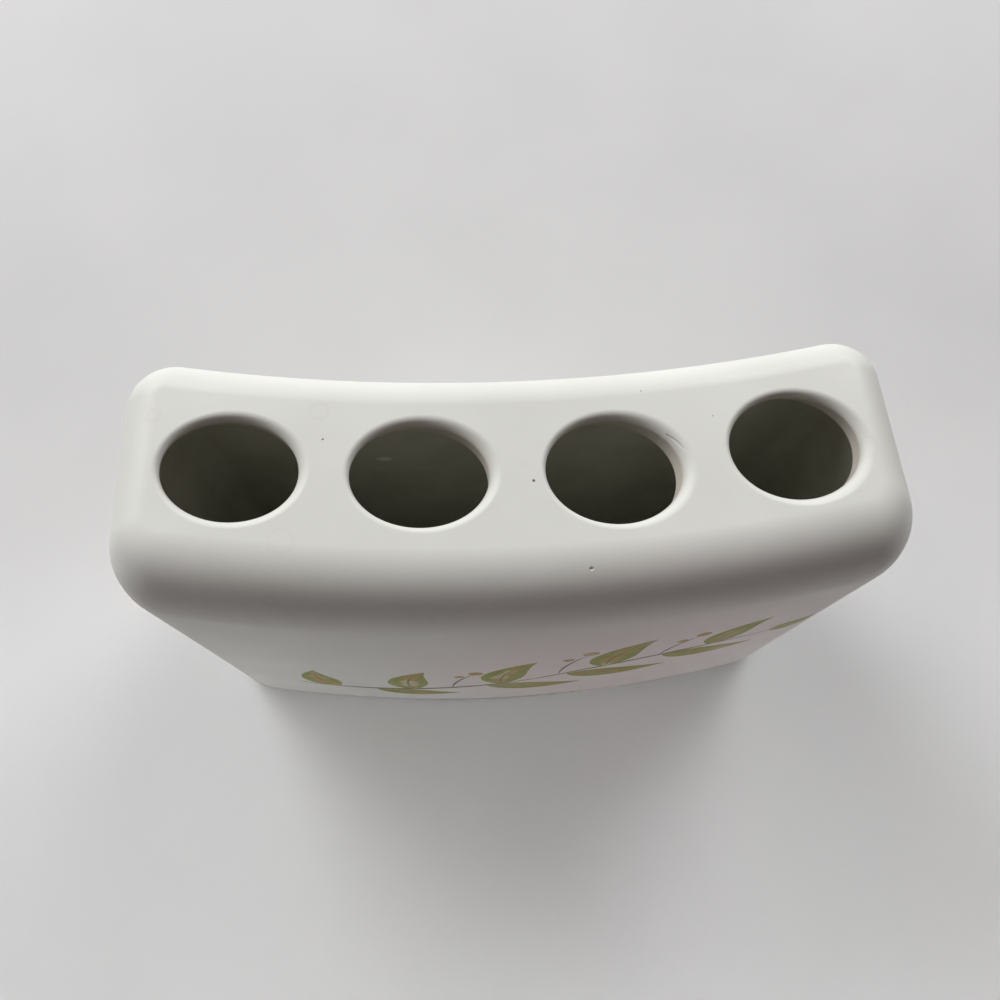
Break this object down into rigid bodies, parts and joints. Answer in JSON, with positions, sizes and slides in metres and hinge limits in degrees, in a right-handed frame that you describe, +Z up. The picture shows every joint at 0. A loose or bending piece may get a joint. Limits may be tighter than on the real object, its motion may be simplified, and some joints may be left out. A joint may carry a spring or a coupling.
{
  "type": "toothbrush holder",
  "caption": "Free-standing glazed ceramic toothbrush holder: a shallow box curved along its width, with a row of oval openings in a flat deck with a soft shoulder.",
  "frame": {"origin": "on the surface that the holder stands on, under the middle of its outline", "axes": "+Z up, +X along the width to the right as seen from the front, +Y from the front face towards the back"},
  "size_m": [0.143, 0.0528, 0.094],
  "materials": {
    "glaze": null,
    "pad": "soft translucent grey bumper"
  },
  "bodies": {
    "root": {"deck": "glaze", "walls": "glaze", "base": "glaze", "pad_front_left": "pad", "pad_front_right": "pad", "pad_back_left": "pad", "pad_back_right": "pad"}
  },
  "joints": []
}
